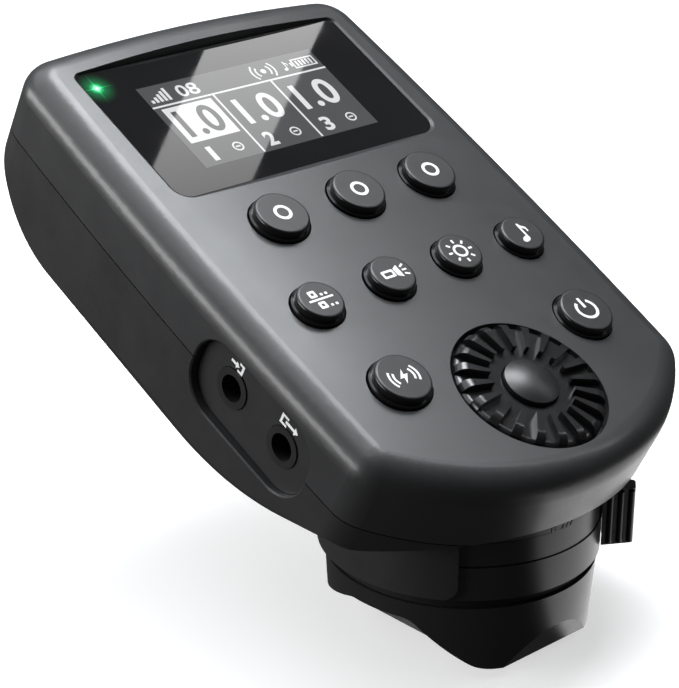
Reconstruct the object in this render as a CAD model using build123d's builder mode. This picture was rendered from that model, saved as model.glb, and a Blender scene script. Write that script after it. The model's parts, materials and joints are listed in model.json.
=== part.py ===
from build123d import *
from math import cos, radians, sin, sqrt, tan
import os

os.makedirs("parts", exist_ok=True)

# Wireless flash trigger.  Millimetres, +Z up along the foot column.
# Origin: underside of the hot-shoe foot, on the column's axis.  The photographer stands at -Y.

# ---------------------------------------------------------------- driving dimensions
TILT = 27.0  # the control panel leans back towards the photographer
PANEL_Y = 21.14  # the middle group button, where it meets the panel
PANEL_Z = 52.5

WALL = 2.0
CROWN_R = 305.0  # the panel is slightly domed across its width
SIDE_U = 29.0  # half width at the dial end
SIDE_BULGE = 29.75  # half width at the middle
SCREEN_U = 28.6  # half width at the screen end
DIAL_END_R = 38.9
DIAL_END_V = -51.0
SCREEN_END_V = 39.5
SCREEN_END_DROP = 0.5
CORNER_R = 5.6
PARTING_N = -11.25
BACK_N = -25.4
UNDERSIDE_Z = 20.7
BACK_ROUND = 19.0
BEND_R = 45.0  # where the back turns into the level underside
TOP_EDGE_R = 4.0
LOW_EDGE_R = 3.6
SEAM_W = 0.18  # groove between the two halves
SEAM_DEPTH = 0.3

# screen
GLASS_N = -1.2
GLASS_T = 1.2
GLASS_U = 23.0
GLASS_LOW_V = 8.35
GLASS_HIGH_V = 33.4
LCD_V = 20.65
LED_U = -21.2
LED_V = 30.4

# keys: name, u, v, cap radius, skirt radius
GROUP_V = 0.0
MODE_V = -14.5
FUNC_V = -29.3
KEYS = (
    ("group_button_1", -13.34, GROUP_V, 3.78, 4.1),
    ("group_button_2", 0.0, GROUP_V, 3.78, 4.1),
    ("group_button_3", 13.34, GROUP_V, 3.78, 4.1),
    ("mode_button_1", -18.33, MODE_V, 3.22, 3.55),
    ("mode_button_2", -6.11, MODE_V, 3.22, 3.55),
    ("mode_button_3", 6.11, MODE_V, 3.22, 3.55),
    ("mode_button_4", 18.33, MODE_V, 3.22, 3.55),
    ("test_button", -16.73, FUNC_V, 3.82, 4.15),
    ("power_button", 16.73, FUNC_V, 3.82, 4.15),
)
KEY_HEIGHT = 1.5  # cap top above the panel
KEY_STEP = 0.4  # skirt top above the panel
KEY_GAP = 0.2
KEY_EDGE_R = 0.4
KEY_TRAVEL = 0.5

# dial
DIAL_V = -36.18
DIAL_WELL_R = 10.7
DIAL_R = 10.35
DIAL_FLOOR_N = -0.1  # face between the ribs
DIAL_TOP_N = 0.95  # top of the ribs
DIAL_LOW_N = -2.25
DIAL_RIBS = 20
RIB_FROM_R = 5.7
RIB_TO_R = 10.2
SET_R = 3.7
SET_GAP = 0.2
SET_DOME_R = 8.0
SET_TOP_N = 1.5

# boards
BOARD_TOP_N = -6.65
BOARD_T = 1.2
BOARD_LOW_N = BOARD_TOP_N - BOARD_T
SWITCH_TOP_N = -5.2
STEM_LOW_N = SWITCH_TOP_N + KEY_TRAVEL + 0.1

# sockets
JACK_N = -11.1
IN_V = -14.8
OUT_V = -25.3
JACK_BORE_R = 1.83
JACK_RING_R = 2.76
JACK_DEPTH = 12.0
RECESS_LOW_V = -30.9
RECESS_HIGH_V = -8.3
RECESS_LOW_N = -17.1
RECESS_HIGH_N = -5.5
RECESS_R = 5.0
RECESS_RIM = 0.2
PLATE_U = -28.45  # outer face of the jack plate
PLATE_BACK_U = -26.8
USB_V = -29.3
USB_N = -9.45
USB_W = 9.0
USB_H = 3.2

# batteries: two AA cells lying across the case
CELL_R = 7.25
CELL_L = 50.5
CELL_N = -16.2
CELL_V = (4.5, 19.7)
DOOR_U = 25.3
DOOR_LOW_V = -5.3
HINGE_V = 26.8
HINGE_N = -23.0
HINGE_END_V = 28.4
DOOR_T = 1.6
DOOR_GAP = 0.3

# column and lock
COLUMN_R = 18.4
NECK_SCREW_R = 13.85  # circle of the four screws that hold the column
NECK_PILOT_R = 0.8
RING_HIGH_Z = 18.9
RING_LOW_Z = 15.45
GROOVE_HIGH_Z = 10.8
GROOVE_LOW_Z = 9.4
GROOVE_R = 17.5
TUBE_R = 15.1
TUBE_BORE_R = 12.6
COVER_IN_R = 18.55
COVER_R = 19.1
COVER_LOW_Z = 11.1
COVER_FROM = -34.0  # the cover leaves a window between these two angles
COVER_TO = -137.0
LEVER_AT = -48.0
LEVER_LOW_Z = 11.4
LEVER_HIGH_Z = 19.3
LEVER_TIP_R = 22.6
LEVER_GAP = 0.15
LEVER_RIDGE_R = 0.42

# skirt and foot
SKIRT_TOP_R = 18.0
SKIRT_LOW_R = 17.4
SKIRT_LOW_Z = 0.2
SKIRT_SIDE_Z = 7.0  # top of the arch each side of the foot
SKIRT_FRONT_Z = 2.6
SHOE_GAP_U = 12.0  # half width of the way in for the camera's shoe
FOOT_W = 18.6
FOOT_L = 18.0
FOOT_T = 2.0
FOOT_NECK_W = 12.4
FOOT_NECK_Z = 6.3
FOOT_FLANGE_R = 13.0
FOOT_FLANGE_Z = 7.8
FOOT_SCREWS = ((-8.6, -6.3), (8.6, -6.3), (-8.6, 6.3), (8.6, 6.3))
FOOT_PILOT_R = 0.85
PIN_Y = 7.2
PIN_R = 1.1
CONTACTS = (
    ("contact_pin_centre", 0.0, -0.6, 1.2),
    ("contact_pin_1", -3.3, 2.6, 0.7),
    ("contact_pin_2", 3.3, 2.6, 0.7),
    ("contact_pin_3", -3.3, -3.8, 0.7),
    ("contact_pin_4", 3.3, -3.8, 0.7),
)

TILT_SIN = sin(radians(TILT))
TILT_COS = cos(radians(TILT))
PANEL = Plane(
    origin=(0, PANEL_Y, PANEL_Z),
    x_dir=(1, 0, 0),
    z_dir=(0, -TILT_SIN, TILT_COS),
)
# local x runs across the panel (u), local y along it towards the screen (v), z is n


def level(n):
    """Plane parallel to the panel, n above it."""
    return PANEL.offset(n)


def across(u):
    """Plane square to the width, at u; its x runs along v and its y along n."""
    return Plane(
        origin=PANEL.from_local_coords(Vector(u, 0, 0)),
        x_dir=(0, TILT_COS, TILT_SIN),
        z_dir=(1, 0, 0),
    )


def along(v):
    """Plane square to the panel's length, at v; its x runs against u and its y along n."""
    return Plane(
        origin=PANEL.from_local_coords(Vector(0, v, 0)),
        x_dir=(-1, 0, 0),
        z_dir=(0, TILT_COS, TILT_SIN),
    )


def crown(u):
    """Height of the domed panel at u."""
    return sqrt(CROWN_R**2 - u**2) - CROWN_R


def underside_n(v):
    """n of the level underside at v."""
    return (UNDERSIDE_Z - PANEL_Z - TILT_SIN * v) / TILT_COS


def case_outline(inset):
    """The case's plan, every wall moved in by inset."""
    side = SIDE_U - inset
    bulge = SIDE_BULGE - inset
    screen = SCREEN_U - inset
    dial_v = DIAL_END_V + inset
    screen_v = SCREEN_END_V - inset
    corner_v = DIAL_END_V + DIAL_END_R - sqrt((DIAL_END_R - inset) ** 2 - side**2)
    drop_v = screen_v - SCREEN_END_DROP
    with BuildSketch() as plan:
        with BuildLine():
            ThreePointArc((-side, corner_v), (0, dial_v), (side, corner_v))
            ThreePointArc((side, corner_v), (bulge, 4), (screen, drop_v))
            ThreePointArc((screen, drop_v), (0, screen_v), (-screen, drop_v))
            ThreePointArc((-screen, drop_v), (-bulge, 4), (-side, corner_v))
        make_face()
        fillet(plan.vertices(), radius=CORNER_R - inset)
    return plan.sketch


def case_side(inset):
    """The case's side view, every wall moved in by inset."""
    low = BACK_N + inset
    end = DIAL_END_V - 2
    with BuildSketch() as side:
        with BuildLine():
            Polyline(
                (end, 5),
                (SCREEN_END_V + 1, 5),
                (SCREEN_END_V + 1, BACK_N + BACK_ROUND),
                (SCREEN_END_V - inset, BACK_N + BACK_ROUND),
            )
            RadiusArc(
                (SCREEN_END_V - inset, BACK_N + BACK_ROUND),
                (SCREEN_END_V - BACK_ROUND, low),
                BACK_ROUND - inset,
            )
            Polyline(
                (SCREEN_END_V - BACK_ROUND, low),
                (BEND_V + inset * tan(radians(TILT / 2)), low),
                (end, underside_n(end) + inset / TILT_COS),
                (end, 5),
            )
        make_face()
        bend = side.vertices().filter_by_position(Axis.X, BEND_V - 1, BEND_V + 1)
        fillet(bend, radius=BEND_R - inset)
    return side.sketch


def crown_profile(drop):
    """What lies under the domed panel, lowered by drop."""
    edge = 33.0
    low = BACK_N - 5
    with BuildSketch() as profile:
        with BuildLine():
            Polyline((-edge, crown(edge) - drop), (-edge, low), (edge, low), (edge, crown(edge) - drop))
            ThreePointArc((edge, crown(edge) - drop), (0, -drop), (-edge, crown(edge) - drop))
        make_face()
    return profile.sketch


def edge_section():
    """What the rounded lower edges leave out at both sides: x is u, y points into the case."""
    half = SIDE_BULGE + 0.1
    inner = half - LOW_EDGE_R
    with BuildSketch() as section:
        for side in (-1, 1):
            with BuildLine():
                Polyline(
                    (side * half, LOW_EDGE_R),
                    (side * (half + 1), LOW_EDGE_R),
                    (side * (half + 1), -1),
                    (side * inner, -1),
                    (side * inner, 0),
                )
                ThreePointArc(
                    (side * inner, 0),
                    (side * (inner + LOW_EDGE_R * sin(radians(45))), LOW_EDGE_R * (1 - cos(radians(45)))),
                    (side * half, LOW_EDGE_R),
                )
            make_face()
    return section.sketch


def window_outline(side, low, high, rise, low_r, high_r):
    """Screen window outline; rise bows its top edge."""
    with BuildSketch() as window:
        with BuildLine():
            Polyline((-side, high), (-side, low), (side, low), (side, high))
            if rise:
                ThreePointArc((side, high), (0, high + rise), (-side, high))
            else:
                Line((side, high), (-side, high))
        make_face()
        fillet(window.vertices().group_by(Axis.Y)[0], radius=low_r)
        fillet(window.vertices().group_by(Axis.Y)[-1], radius=high_r)
    return window.sketch


def jack_outline(grow):
    """Rounded outline of the socket recess, on a plane across the case."""
    with BuildSketch() as recess:
        with Locations(((RECESS_LOW_V + RECESS_HIGH_V) / 2, (RECESS_LOW_N + RECESS_HIGH_N) / 2)):
            RectangleRounded(
                RECESS_HIGH_V - RECESS_LOW_V + 2 * grow,
                RECESS_HIGH_N - RECESS_LOW_N + 2 * grow,
                RECESS_R + grow,
            )
    return recess.sketch


def at_recess_rim(edge):
    """Whether an edge runs along the outer rim of the socket recess."""
    spot = PANEL.to_local_coords(edge.position_at(0.5))
    by_length = RECESS_LOW_V - 0.1 < spot.Y < RECESS_HIGH_V + 0.1
    by_height = RECESS_LOW_N - 0.1 < spot.Z < RECESS_HIGH_N + 0.1
    return by_length and by_height and spot.X < 1 - SIDE_U


def highest(edges):
    """The circular edge that stands highest over the panel."""
    circles = edges.filter_by(GeomType.CIRCLE)
    return max(circles, key=lambda e: PANEL.to_local_coords(e.arc_center).Z)


def save(part, name):
    part.label = name
    export_step(part, f"parts/{name}.step")


# ---------------------------------------------------------------- case, as solid forms
BEND_V = (UNDERSIDE_Z - PANEL_Z - TILT_COS * BACK_N) / TILT_SIN
BEND_REACH = BEND_R * tan(radians(TILT / 2))
LOW_END_V = DIAL_END_V - 2

with BuildPart() as edge_cutter:
    with BuildLine(across(0)) as low_line:
        underside = (BEND_V - BEND_REACH * TILT_COS, BACK_N + BEND_REACH * TILT_SIN)
        Line((LOW_END_V, underside_n(LOW_END_V)), underside)
        RadiusArc(underside, (BEND_V + BEND_REACH, BACK_N), -BEND_R)
        Line((BEND_V + BEND_REACH, BACK_N), (SCREEN_END_V - BACK_ROUND, BACK_N))
        RadiusArc(
            (SCREEN_END_V - BACK_ROUND, BACK_N),
            (SCREEN_END_V, BACK_N + BACK_ROUND),
            -BACK_ROUND,
        )
    with BuildSketch(Plane(origin=low_line.line @ 0, x_dir=(-1, 0, 0), z_dir=low_line.line % 0)):
        add(edge_section())
    sweep(path=low_line.line)

with BuildPart() as outer_form:
    with BuildSketch(level(BACK_N - 1)):
        add(case_outline(0))
    extrude(amount=3 - BACK_N)
    with BuildSketch(across(0)):
        add(case_side(0))
    extrude(amount=40, both=True, mode=Mode.INTERSECT)
    with BuildSketch(along(0)):
        add(crown_profile(0))
    extrude(amount=70, both=True, mode=Mode.INTERSECT)
    top_edges = outer_form.edges().filter_by(
        lambda e: PANEL.to_local_coords(e.position_at(0.5)).Z > -1.6
    )
    fillet(top_edges, radius=TOP_EDGE_R)
    add(edge_cutter.part, mode=Mode.SUBTRACT)
    with BuildSketch(across(-32)):
        add(jack_outline(0))
    extrude(amount=32 + PLATE_BACK_U, mode=Mode.SUBTRACT)
    chamfer(outer_form.edges().filter_by(at_recess_rim), length=RECESS_RIM)

with BuildPart() as cavity_form:
    with BuildSketch(level(BACK_N - 1)):
        add(case_outline(WALL))
    extrude(amount=3 - BACK_N)
    with BuildSketch(across(0)):
        add(case_side(WALL))
    extrude(amount=40, both=True, mode=Mode.INTERSECT)
    with BuildSketch(along(0)):
        add(crown_profile(WALL))
    extrude(amount=70, both=True, mode=Mode.INTERSECT)

with BuildPart() as upper_form:
    add(outer_form.part)
    split(bisect_by=level(PARTING_N), keep=Keep.TOP)

with BuildPart() as lower_form:
    add(outer_form.part)
    split(bisect_by=level(PARTING_N), keep=Keep.BOTTOM)

# screw places: case screws at the four corners, board screws in the upper half
CASE_POSTS = ((-24.2, 34.6), (24.2, 34.6), (-22.3, -36.6), (22.3, -36.6))
BOARD_POSTS = ((-24.2, -6.0), (24.2, -6.0), (0, -21.6))
HEAD_N = -14.6  # where the heads of the case screws sit
CASE_POST_R = 3.0

# ---------------------------------------------------------------- upper half of the case
with BuildPart() as upper_case:
    add(upper_form.part)
    add(cavity_form.part, mode=Mode.SUBTRACT)
    with BuildSketch(level(-4.0)):
        with Locations((0, LCD_V + 0.35)):
            Rectangle(50, 29.2)
    extrude(amount=2.6)
    with BuildSketch(level(PARTING_N + 0.05)):
        with Locations(*CASE_POSTS):
            Circle(2.4)
    extrude(amount=9.0)
    with BuildSketch(level(BOARD_TOP_N)):
        with Locations(*BOARD_POSTS):
            Circle(1.7)
    extrude(amount=5.0)
    with BuildSketch(level(-3.4)):
        with Locations((0, DIAL_V)):
            Circle(DIAL_WELL_R + 1.2)
    extrude(amount=2.4)
    with BuildSketch(level(-2.6)):
        with Locations((0, DIAL_V)):
            Circle(DIAL_WELL_R)
    extrude(amount=5, mode=Mode.SUBTRACT)
    with BuildSketch(level(-6)):
        with Locations((0, DIAL_V)):
            Circle(7.0)
    extrude(amount=8, mode=Mode.SUBTRACT)
    for name, u, v, cap_r, skirt_r in KEYS:
        with BuildSketch(level(-6)):
            with Locations((u, v)):
                Circle(skirt_r + KEY_GAP)
        extrude(amount=8, mode=Mode.SUBTRACT)
    with BuildSketch(level(GLASS_N - GLASS_T)):
        add(window_outline(GLASS_U + 0.1, GLASS_LOW_V - 0.1, GLASS_HIGH_V + 0.1, 0, 2.5, 1.2))
    extrude(amount=4, mode=Mode.SUBTRACT)
    with BuildSketch(level(-6)):
        with Locations((0, LCD_V)):
            Rectangle(41.2, 20.8)
        with Locations((LED_U, LED_V)):
            Circle(1.1)
    extrude(amount=6, mode=Mode.SUBTRACT)
    with BuildSketch(level(GLASS_N + 0.05)):
        add(window_outline(GLASS_U + 0.1, GLASS_LOW_V - 0.1, GLASS_HIGH_V + 0.1, 0, 2.5, 1.2))
    with BuildSketch(level(0.25)):
        add(window_outline(GLASS_U + 2.2, GLASS_LOW_V - 1.9, GLASS_HIGH_V + 0.35, 0.35, 3.6, 2.2))
    loft(mode=Mode.SUBTRACT)
    with BuildSketch(across(-32)):
        add(jack_outline(0))
    extrude(amount=6, mode=Mode.SUBTRACT)
    with BuildSketch(across(25)):
        with Locations((USB_V, USB_N)):
            SlotOverall(USB_W + 0.6, USB_H + 0.5)
    extrude(amount=6, mode=Mode.SUBTRACT)
    with BuildSketch(level(PARTING_N - 0.5)):
        with Locations(*CASE_POSTS):
            Circle(0.85)
    extrude(amount=7.5, mode=Mode.SUBTRACT)
    with BuildSketch(level(BOARD_TOP_N - 0.5)):
        with Locations(*BOARD_POSTS):
            Circle(0.75)
    extrude(amount=3.6, mode=Mode.SUBTRACT)
save(upper_case.part, "upper_case")

# ---------------------------------------------------------------- lower half of the case
with BuildPart() as lower_posts:
    with BuildSketch(level(BACK_N)):
        with Locations(*CASE_POSTS):
            Circle(CASE_POST_R)
    extrude(amount=PARTING_N - BACK_N)
    add(lower_form.part, mode=Mode.INTERSECT)

with BuildPart() as hinge_lugs:
    for side in (-1, 1):
        with BuildSketch(across(side * 20.5)):
            with Locations((HINGE_V + 0.6, HINGE_N + 0.3)):
                Rectangle(3.4, 3.2)
        extrude(amount=side * 5.2)
    add(outer_form.part, mode=Mode.INTERSECT)

with BuildPart() as lower_case:
    add(lower_form.part)
    with BuildSketch(Plane.XY.offset(RING_HIGH_Z)):
        Circle(COLUMN_R)
    extrude(amount=5.2)
    add(cavity_form.part, mode=Mode.SUBTRACT)
    add(upper_form.part, mode=Mode.SUBTRACT)
    add(lower_posts.part)
    with BuildSketch(level(PARTING_N - SEAM_W)):
        add(case_outline(-1.0))
        add(case_outline(SEAM_DEPTH), mode=Mode.SUBTRACT)
    extrude(amount=SEAM_W, mode=Mode.SUBTRACT)
    with BuildSketch(level(HEAD_N)):
        with Locations(*CASE_POSTS):
            Circle(2.0)
    extrude(amount=-10, mode=Mode.SUBTRACT)
    with BuildSketch(level(HEAD_N - 1)):
        with Locations(*CASE_POSTS):
            Circle(1.15)
    extrude(amount=10, mode=Mode.SUBTRACT)
    with BuildSketch(level(BACK_N - 1)):
        with Locations((0, (DOOR_LOW_V - DOOR_GAP + HINGE_END_V) / 2)):
            Rectangle(2 * (DOOR_U + DOOR_GAP), HINGE_END_V - DOOR_LOW_V + DOOR_GAP)
    extrude(amount=6, mode=Mode.SUBTRACT)
    add(hinge_lugs.part)
    with BuildSketch(across(-24.1)):
        with Locations((HINGE_V, HINGE_N)):
            Circle(0.7)
    extrude(amount=48.2, mode=Mode.SUBTRACT)
    with BuildSketch(across(-32)):
        add(jack_outline(0))
    extrude(amount=6, mode=Mode.SUBTRACT)
    with BuildSketch(Plane.XY.offset(RING_HIGH_Z)):
        with Locations((0, -4)):
            Circle(6.5)
        with PolarLocations(NECK_SCREW_R, 4, start_angle=45):
            Circle(1.05)
    extrude(amount=5, mode=Mode.SUBTRACT)
    with BuildSketch(Plane.XY.offset(UNDERSIDE_Z + WALL)):
        with PolarLocations(NECK_SCREW_R, 4, start_angle=45):
            Circle(2.2)
    extrude(amount=3, mode=Mode.SUBTRACT)
save(lower_case.part, "lower_case")

# ---------------------------------------------------------------- screen
with BuildPart() as screen_window:
    with BuildSketch(level(GLASS_N - GLASS_T)):
        add(window_outline(GLASS_U, GLASS_LOW_V, GLASS_HIGH_V, 0, 2.4, 1.1))
    extrude(amount=GLASS_T)
save(screen_window.part, "screen_window")

with BuildPart() as lcd_panel:
    with BuildSketch(level(-4.2)):
        with Locations((0, LCD_V)):
            Rectangle(40.4, 20.2)
    extrude(amount=1.5)
save(lcd_panel.part, "lcd_panel")

with BuildPart() as lcd_backlight:
    with BuildSketch(level(-6.0)):
        with Locations((0, LCD_V)):
            Rectangle(40.0, 19.8)
    extrude(amount=1.8)
    with BuildSketch(level(-5.6)):
        with Locations((-20.4, LCD_V)):
            Rectangle(1.0, 8.0)
    extrude(amount=0.9)
save(lcd_backlight.part, "lcd_backlight")

with BuildPart() as lcd_frame:
    with BuildSketch(level(BOARD_TOP_N)):
        with Locations((0, LCD_V)):
            Rectangle(43.6, 22.6)
            Rectangle(42.0, 20.8, mode=Mode.SUBTRACT)
    extrude(amount=2.5)
    with BuildSketch(level(BOARD_TOP_N)):
        with Locations((0, LCD_V)):
            Rectangle(42.6, 21.4)
            Rectangle(36.0, 15.0, mode=Mode.SUBTRACT)
    extrude(amount=0.6)
    with BuildSketch(level(BOARD_TOP_N)):
        with Locations((LED_U, LED_V)):
            Circle(1.15)
    extrude(amount=3, mode=Mode.SUBTRACT)
save(lcd_frame.part, "lcd_frame")

with BuildPart() as light_pipe:
    with BuildSketch(level(-5.9)):
        with Locations((LED_U, LED_V)):
            Circle(0.85)
    extrude(amount=3.4)
save(light_pipe.part, "light_pipe")

# ---------------------------------------------------------------- keys
for name, u, v, cap_r, skirt_r in KEYS:
    face = crown(u)
    with BuildPart() as key:
        with BuildSketch(level(face - WALL - 1.15)):
            with Locations((u, v)):
                Circle(skirt_r + 0.7)
        extrude(amount=0.8)
        with BuildSketch(level(face - WALL - 1.15)):
            with Locations((u, v)):
                Circle(skirt_r)
        extrude(amount=WALL + 1.15 + KEY_STEP)
        chamfer(highest(key.edges()), length=0.2)
        with BuildSketch(level(face + KEY_STEP)):
            with Locations((u, v)):
                Circle(cap_r)
        extrude(amount=KEY_HEIGHT - KEY_STEP)
        fillet(highest(key.edges()), radius=KEY_EDGE_R)
        with BuildSketch(level(STEM_LOW_N)):
            with Locations((u, v)):
                Circle(1.4)
        extrude(amount=face - WALL - 1.1 - STEM_LOW_N)
    save(key.part, name)

# ---------------------------------------------------------------- dial
def rib_plan():
    """Plan of one rib along +X: narrow towards the middle, wide at the rim."""
    with BuildSketch() as plan:
        with BuildLine():
            Polyline((RIB_FROM_R, -0.26), (RIB_TO_R, -0.66), (RIB_TO_R, 0.66), (RIB_FROM_R, 0.26), close=True)
        make_face()
    return plan.sketch


with BuildPart() as dial_ribs:
    with BuildSketch(level(DIAL_LOW_N)):
        with Locations((0, DIAL_V)):
            Circle(DIAL_R - 0.1)
    extrude(amount=DIAL_TOP_N - DIAL_LOW_N)
    fillet(highest(dial_ribs.edges()), radius=1.5)
    with BuildSketch(level(DIAL_LOW_N)):
        with Locations((0, DIAL_V)):
            with PolarLocations(0, DIAL_RIBS):
                add(rib_plan())
    extrude(amount=4, mode=Mode.INTERSECT)

with BuildPart() as dial_wheel:
    with BuildSketch(level(DIAL_LOW_N)):
        with Locations((0, DIAL_V)):
            Circle(DIAL_R)
    extrude(amount=DIAL_FLOOR_N - DIAL_LOW_N)
    fillet(highest(dial_wheel.edges()), radius=0.9)
    with BuildSketch(level(-3.0)):
        with Locations((0, DIAL_V)):
            Circle(6.4)
    extrude(amount=1.0)
    add(dial_ribs.part)
    with BuildSketch(level(-4)):
        with Locations((0, DIAL_V)):
            Circle(SET_R + SET_GAP)
    extrude(amount=8, mode=Mode.SUBTRACT)
save(dial_wheel.part, "dial_wheel")

with BuildPart() as encoder_rotor:
    with BuildSketch(level(-3.7)):
        with Locations((0, DIAL_V)):
            Circle(6.0)
            Circle(4.6, mode=Mode.SUBTRACT)
            with PolarLocations(6.0, 16):
                Circle(0.35, mode=Mode.SUBTRACT)
    extrude(amount=0.7)
save(encoder_rotor.part, "encoder_rotor")

with BuildPart() as encoder_body:
    with BuildSketch(level(BOARD_TOP_N)):
        with Locations((0, DIAL_V)):
            RectangleRounded(13.6, 13.6, 1.2)
    extrude(amount=2.6)
    with BuildSketch(level(BOARD_TOP_N + 0.6)):
        with Locations((0, DIAL_V)):
            Circle(2.2)
    extrude(amount=4, mode=Mode.SUBTRACT)
save(encoder_body.part, "encoder_body")

with BuildPart() as set_button:
    with BuildSketch(level(-1.2)):
        with Locations((0, DIAL_V)):
            Circle(SET_R)
    extrude(amount=SET_TOP_N + 1.2)
    with Locations(level(SET_TOP_N - SET_DOME_R).location * Location((0, DIAL_V, 0))):
        Sphere(SET_DOME_R, mode=Mode.INTERSECT)
    with BuildSketch(level(-5.0)):
        with Locations((0, DIAL_V)):
            Circle(1.5)
    extrude(amount=4)
save(set_button.part, "set_button")

# ---------------------------------------------------------------- boards and what they carry
with BuildPart() as main_board:
    with BuildSketch(level(BOARD_LOW_N)):
        add(case_outline(2.9))
        with Locations(*CASE_POSTS):
            Circle(3.0, mode=Mode.SUBTRACT)
        with Locations((-27, (RECESS_LOW_V + RECESS_HIGH_V) / 2)):
            Rectangle(3.6, RECESS_HIGH_V - RECESS_LOW_V + 3, mode=Mode.SUBTRACT)
        with Locations(*BOARD_POSTS):
            Circle(0.95, mode=Mode.SUBTRACT)
    extrude(amount=BOARD_T)
save(main_board.part, "main_board")

with BuildPart() as tact_switches:
    for name, u, v, cap_r, skirt_r in KEYS:
        with BuildSketch(level(BOARD_TOP_N)):
            with Locations((u, v)):
                RectangleRounded(4.4, 4.4, 0.4)
        extrude(amount=1.1)
        with BuildSketch(level(BOARD_TOP_N)):
            with Locations((u, v)):
                Circle(1.1)
        extrude(amount=SWITCH_TOP_N - BOARD_TOP_N)
save(tact_switches.part, "tact_switches")

with BuildPart() as status_led:
    with BuildSketch(level(BOARD_TOP_N)):
        with Locations((LED_U, LED_V)):
            Rectangle(1.6, 0.8)
    extrude(amount=0.6)
save(status_led.part, "status_led")

with BuildPart() as radio_module:
    with BuildSketch(level(BOARD_LOW_N)):
        with Locations((9, -25)):
            Rectangle(12, 16)
    extrude(amount=-0.8)
    with BuildSketch(level(BOARD_LOW_N - 0.8)):
        with Locations((9, -26.5)):
            RectangleRounded(10.6, 11.6, 0.6)
    extrude(amount=-1.6)
save(radio_module.part, "radio_module")

with BuildPart() as antenna:
    with BuildSketch(level(BOARD_TOP_N)):
        with Locations((0, 35.0)):
            Rectangle(26, 3.4)
        with Locations((-9, 35.6), (-3, 35.6), (3, 35.6), (9, 35.6)):
            Rectangle(1.0, 2.4, mode=Mode.SUBTRACT)
        with Locations((-6, 34.4), (0, 34.4), (6, 34.4)):
            Rectangle(1.0, 2.4, mode=Mode.SUBTRACT)
    extrude(amount=0.5)
save(antenna.part, "antenna")

with BuildPart() as buzzer:
    with BuildSketch(level(BOARD_LOW_N)):
        with Locations((-5, -11.0)):
            Circle(4.5)
    extrude(amount=-3)
    with BuildSketch(level(BOARD_LOW_N - 3)):
        with Locations((-5, -11.0)):
            Circle(0.8)
    extrude(amount=1.5, mode=Mode.SUBTRACT)
save(buzzer.part, "buzzer")

with BuildPart() as board_screws:
    for u, v in BOARD_POSTS:
        with BuildSketch(level(BOARD_LOW_N - 1.1)):
            with Locations((u, v)):
                Circle(1.5)
        extrude(amount=1.1)
        with BuildSketch(level(BOARD_LOW_N - 1.1)):
            with Locations((u, v)):
                Circle(0.7)
        extrude(amount=5.0)
        with BuildSketch(level(BOARD_LOW_N - 1.1)):
            with Locations((u, v)):
                Rectangle(0.35, 1.9)
                Rectangle(1.9, 0.35)
        extrude(amount=0.6, mode=Mode.SUBTRACT)
save(board_screws.part, "board_screws")

# ---------------------------------------------------------------- sockets
with BuildPart() as jack_plate:
    with BuildSketch(across(PLATE_U)):
        add(jack_outline(-0.08))
    extrude(amount=PLATE_BACK_U - PLATE_U)
    with BuildSketch(across(PLATE_BACK_U)):
        add(jack_outline(0.8))
    extrude(amount=0.8)
    with BuildSketch(across(-30)):
        with Locations((IN_V, JACK_N), (OUT_V, JACK_N)):
            Circle(JACK_RING_R + 0.08)
    extrude(amount=5, mode=Mode.SUBTRACT)
save(jack_plate.part, "jack_plate")

for name, v in (("in_jack", IN_V), ("out_jack", OUT_V)):
    with BuildPart() as jack:
        with BuildSketch(across(-25.95)):
            with Locations((v, (BOARD_LOW_N - 15.1) / 2)):
                Rectangle(6.6, BOARD_LOW_N + 15.1)
        extrude(amount=13)
        with BuildSketch(across(PLATE_U - 0.2)):
            with Locations((v, JACK_N)):
                Circle(JACK_RING_R)
        extrude(amount=3)
        with BuildSketch(across(PLATE_U - 0.2)):
            with Locations((v, JACK_N)):
                Circle(JACK_BORE_R)
        extrude(amount=JACK_DEPTH, mode=Mode.SUBTRACT)
    save(jack.part, name)

with BuildPart() as usb_socket:
    with BuildSketch(across(20.9)):
        with Locations((USB_V, USB_N)):
            SlotOverall(USB_W, USB_H)
    extrude(amount=7.3)
    with BuildSketch(across(22.0)):
        with Locations((USB_V, USB_N)):
            SlotOverall(USB_W - 0.6, USB_H - 0.6)
    extrude(amount=7, mode=Mode.SUBTRACT)
    with BuildSketch(across(21.5)):
        with Locations((USB_V, USB_N)):
            Rectangle(6.6, 0.7)
    extrude(amount=5.8)
save(usb_socket.part, "usb_socket")

# ---------------------------------------------------------------- batteries
with BuildPart() as battery_cradle:
    with BuildSketch(level(-8.75)):
        with Locations((0, 12.1)):
            Rectangle(53.6, 31.4)
            with GridLocations(22, 15, 2, 2):
                RectangleRounded(14, 9, 2, mode=Mode.SUBTRACT)
    extrude(amount=0.65)
    for side in (-1, 1):
        with BuildSketch(across(side * 26.2)):
            with Locations((11.5, -15.3)):
                Rectangle(28.0, 13.6)
        extrude(amount=side * 0.6)
    with BuildSketch(level(-14)):
        with Locations((0, -3.25), (0, 27.45)):
            Rectangle(53.6, 0.7)
    extrude(amount=5.4)
    with BuildSketch(level(-12.0)):
        with Locations((0, 12.1)):
            Rectangle(51.2, 0.6)
    extrude(amount=3.4)
save(battery_cradle.part, "battery_cradle")

for name, v, nub in (("battery_cell_1", CELL_V[0], 1), ("battery_cell_2", CELL_V[1], -1)):
    with BuildPart() as cell:
        with BuildSketch(across(-nub * CELL_L / 2)):
            with Locations((v, CELL_N)):
                Circle(CELL_R)
        extrude(amount=nub * (CELL_L - 1.3))
        fillet(cell.edges().filter_by(GeomType.CIRCLE), radius=0.5)
        with BuildSketch(across(0)):
            with Locations((v, CELL_N)):
                Circle(2.7)
        extrude(amount=nub * CELL_L / 2)
    save(cell.part, name)

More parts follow.
